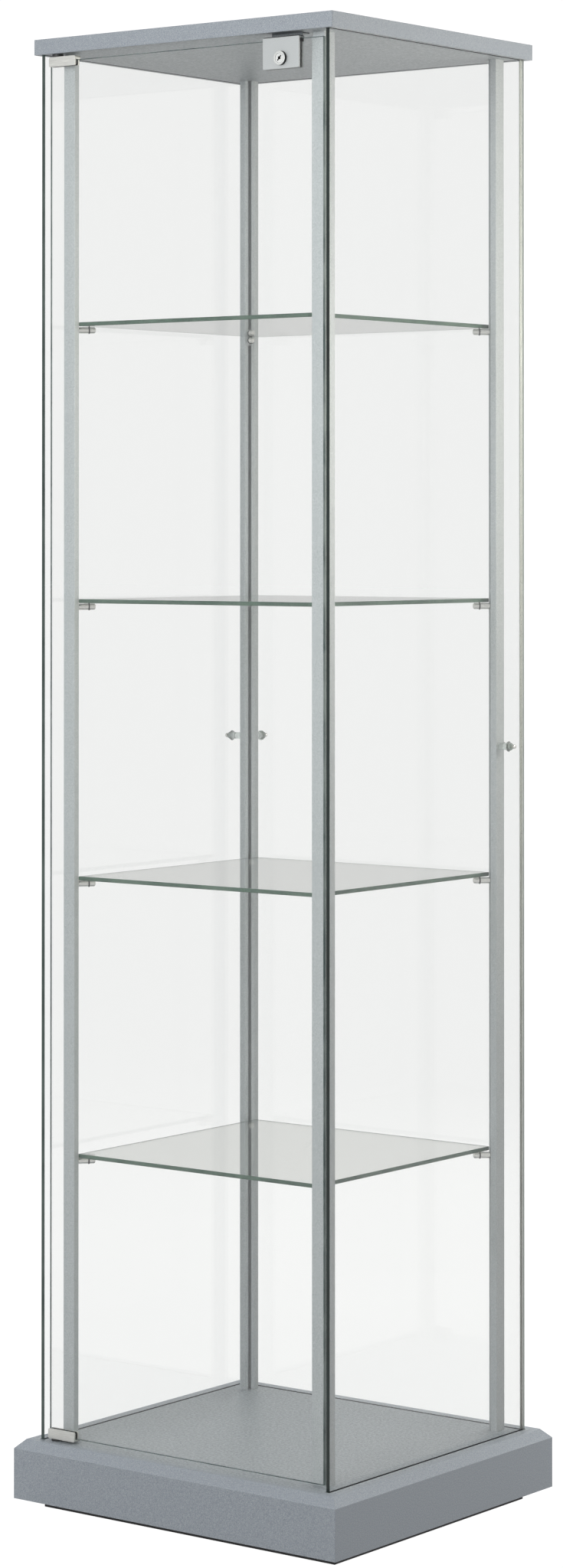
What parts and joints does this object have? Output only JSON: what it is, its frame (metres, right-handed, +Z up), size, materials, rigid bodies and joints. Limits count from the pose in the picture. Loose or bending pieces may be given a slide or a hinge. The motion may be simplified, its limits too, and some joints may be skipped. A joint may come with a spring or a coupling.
{
  "type": "tower display case",
  "caption": "Tall free-standing tower display case: silver base and cap, glass on all sides, hinged lockable glass door, glass shelves on slotted corner posts.",
  "frame": {"origin": "on the floor under the middle of the base", "axes": "+Z up, the door faces -Y, +X to the viewer's right when facing the door"},
  "size_m": [0.5, 0.458, 1.834],
  "materials": {
    "silver_board": "board with a fine speckled metallic silver lacquer, satin",
    "raw_board": "plain fibreboard, hidden inside the base",
    "black_board": "matte black lacquer on board",
    "clear_glass": "clear float glass, ground edges, green when seen edge on",
    "shelf_glass": "clear float glass, polished edges, green when seen edge on",
    "black_seal": "soft black seal, matte",
    "clear_seal": "clear silicone",
    "post_metal": "extruded aluminium with the same speckled silver lacquer",
    "steel": "plain zinc-plated steel",
    "silver_plastic": "silver cover plug, satin",
    "clear_plastic": "clear grey plastic, glossy",
    "polished_steel": "polished",
    "black_rubber": "matte black rubber",
    "hinge_nickel": "brushed along its length",
    "black_plastic": "black nylon",
    "lock_silver": "matte bead-blasted silver",
    "lock_plug_metal": "nickel-plated brass, satin"
  },
  "bodies": {
    "case": {"back_glass": "clear_glass", "base_bottom_board": "raw_board", "base_deck": "silver_board", "base_glue_blocks": "raw_board", "cap_board": "silver_board", "cap_groove_seals": "black_seal", "cap_long_bands": "silver_board", "cap_side_bands": "silver_board", "deck_groove_seals": "black_seal", "fascia_front": "silver_board", "fascia_left": "silver_board", "fascia_rear": "silver_board", "fascia_right": "silver_board", "hinge_bushes": "black_plastic", "plinth_cross_rails": "black_board", "plinth_long_rails": "black_board", "post_end_screws": "steel", "post_front_left": "post_metal", "post_front_right": "post_metal", "post_rear_left": "post_metal", "post_rear_right": "post_metal", "rear_corner_seals": "clear_seal", "screw_covers": "silver_plastic", "side_glass_left": "clear_glass", "side_glass_right": "clear_glass", "spacer_screws": "polished_steel", "spacer_sleeves": "clear_plastic", "spacer_washers": "clear_plastic", "strike_angle": "steel", "strike_buffer": "black_seal", "strike_screws": "steel"},
    "door": {"door_glass": "clear_glass", "hinge_clamp_lower": "hinge_nickel", "hinge_clamp_upper": "hinge_nickel", "hinge_liners": "black_seal", "hinge_grub_screws": "steel", "hinge_pivot_pins": "steel", "lock_case": "lock_silver", "lock_liner": "black_seal", "lock_top_pad": "black_plastic", "lock_barrel": "lock_silver"},
    "lock_works": {"lock_plug": "lock_plug_metal", "lock_cam": "steel", "lock_cam_nut": "steel"},
    "shelf_1": {"shelf_glass_1": "shelf_glass", "shelf_pins_1": "polished_steel", "pin_rings_1": "black_rubber", "slot_nuts_1": "steel"},
    "shelf_2": {"shelf_glass_2": "shelf_glass", "shelf_pins_2": "polished_steel", "pin_rings_2": "black_rubber", "slot_nuts_2": "steel"},
    "shelf_3": {"shelf_glass_3": "shelf_glass", "shelf_pins_3": "polished_steel", "pin_rings_3": "black_rubber", "slot_nuts_3": "steel"},
    "shelf_4": {"shelf_glass_4": "shelf_glass", "shelf_pins_4": "polished_steel", "pin_rings_4": "black_rubber", "slot_nuts_4": "steel"}
  },
  "joints": [
    {"name": "door_hinge", "type": "hinge", "parent": "case", "child": "door", "pos_m": [-0.2032, -0.2005, 0.95], "axis": [0, 0, -1], "range_deg": [0, 110]},
    {"name": "lock_turn", "type": "hinge", "parent": "door", "child": "lock_works", "pos_m": [0.1521, -0.2005, 1.7838], "axis": [0, 1, 0], "range_deg": [0, 90]},
    {"name": "shelf_1_height", "type": "slide", "parent": "case", "child": "shelf_1", "axis": [0, 0, 1], "range_m": [-0.15, 0.15]},
    {"name": "shelf_2_height", "type": "slide", "parent": "case", "child": "shelf_2", "axis": [0, 0, 1], "range_m": [-0.15, 0.15]},
    {"name": "shelf_3_height", "type": "slide", "parent": "case", "child": "shelf_3", "axis": [0, 0, 1], "range_m": [-0.15, 0.15]},
    {"name": "shelf_4_height", "type": "slide", "parent": "case", "child": "shelf_4", "axis": [0, 0, 1], "range_m": [-0.15, 0.15]}
  ]
}
